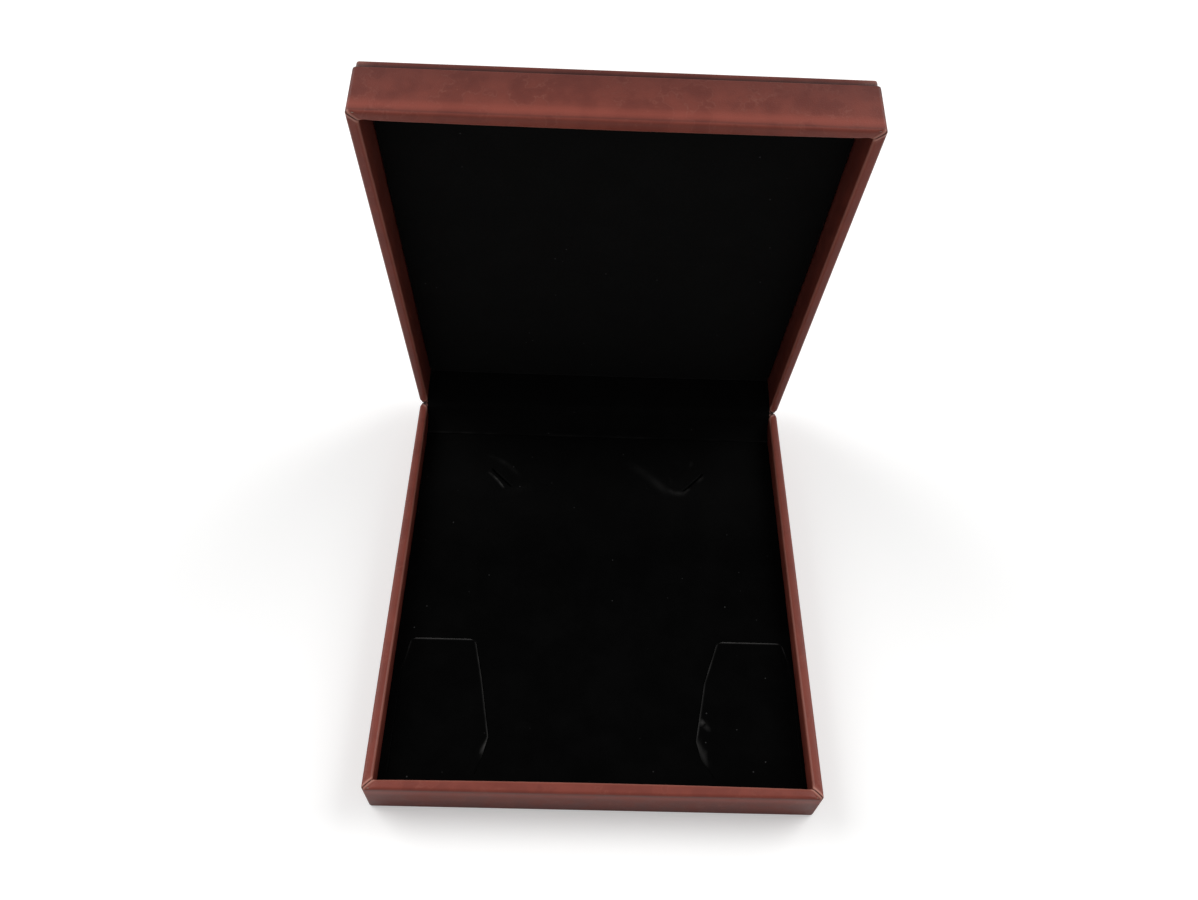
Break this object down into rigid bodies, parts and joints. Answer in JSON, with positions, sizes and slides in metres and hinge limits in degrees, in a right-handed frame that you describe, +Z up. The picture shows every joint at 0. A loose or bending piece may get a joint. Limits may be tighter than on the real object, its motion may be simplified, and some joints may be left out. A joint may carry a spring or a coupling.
{
  "type": "jewellery presentation box",
  "caption": "Open leatherette presentation box with a velvet pad slit for a necklace, lifting earring tabs and a padded lid held by sprung hinges.",
  "frame": {"origin": "centre of the underside of the base", "axes": "+Z up, -Y towards the opening front, +Y towards the hinge side, +X to the right seen from the front"},
  "size_m": [0.185, 0.2235, 0.2211],
  "materials": {
    "leatherette": "reddish-brown smooth leatherette with fine grain and soft mottling",
    "wall_board": "raw fibreboard",
    "card": "raw grey card",
    "velvet": "short-pile black velvet",
    "sole_cloth": "black flocked paper",
    "foam": "soft dark foam",
    "hinge_metal": "nickel-plated steel"
  },
  "bodies": {
    "base": {"base_front_wall": "wall_board", "base_front_wrap": "leatherette", "base_right_wall": "wall_board", "base_right_wrap": "leatherette", "base_back_wall": "wall_board", "base_back_wrap": "leatherette", "base_left_wall": "wall_board", "base_left_wrap": "leatherette", "base_sole": "sole_cloth", "base_bottom_board": "wall_board", "front_riser": "card", "right_riser": "card", "back_riser": "card", "left_riser": "card", "pad_card": "card", "pad_velvet": "velvet", "base_hinge_lining": "velvet", "hinge_web": "velvet", "left_base_leaf": "hinge_metal", "right_base_leaf": "hinge_metal", "left_hinge_pin": "hinge_metal", "right_hinge_pin": "hinge_metal", "left_hinge_spring": "hinge_metal", "right_hinge_spring": "hinge_metal", "base_hinge_tacks": "hinge_metal"},
    "lid": {"lid_front_wall": "wall_board", "lid_front_wrap": "leatherette", "lid_right_wall": "wall_board", "lid_right_wrap": "leatherette", "lid_back_wall": "wall_board", "lid_back_wrap": "leatherette", "lid_left_wall": "wall_board", "lid_left_wrap": "leatherette", "lid_pad_card": "card", "lid_pad_velvet": "velvet", "lid_hinge_lining": "velvet", "lid_pad_foam": "foam", "lid_cover_board": "card", "lid_cover_wrap": "leatherette", "left_lid_leaf": "hinge_metal", "right_lid_leaf": "hinge_metal", "lid_hinge_tacks": "hinge_metal"},
    "left_tab": {"left_tab_card": "card", "left_tab_velvet": "velvet"},
    "right_tab": {"right_tab_card": "card", "right_tab_velvet": "velvet"}
  },
  "joints": [
    {"name": "lid_hinge", "type": "hinge", "parent": "base", "child": "lid", "pos_m": [0, 0.0981, 0.02215], "axis": [-1, 0, 0], "range_deg": [-80, 10], "deforming": ["hinge_web"]},
    {"name": "left_tab_fold", "type": "hinge", "parent": "base", "child": "left_tab", "pos_m": [-0.0645, -0.09, 0.0126], "axis": [1, 0, 0], "range_deg": [0, 20]},
    {"name": "right_tab_fold", "type": "hinge", "parent": "base", "child": "right_tab", "pos_m": [0.0645, -0.09, 0.0126], "axis": [1, 0, 0], "range_deg": [0, 20]}
  ]
}
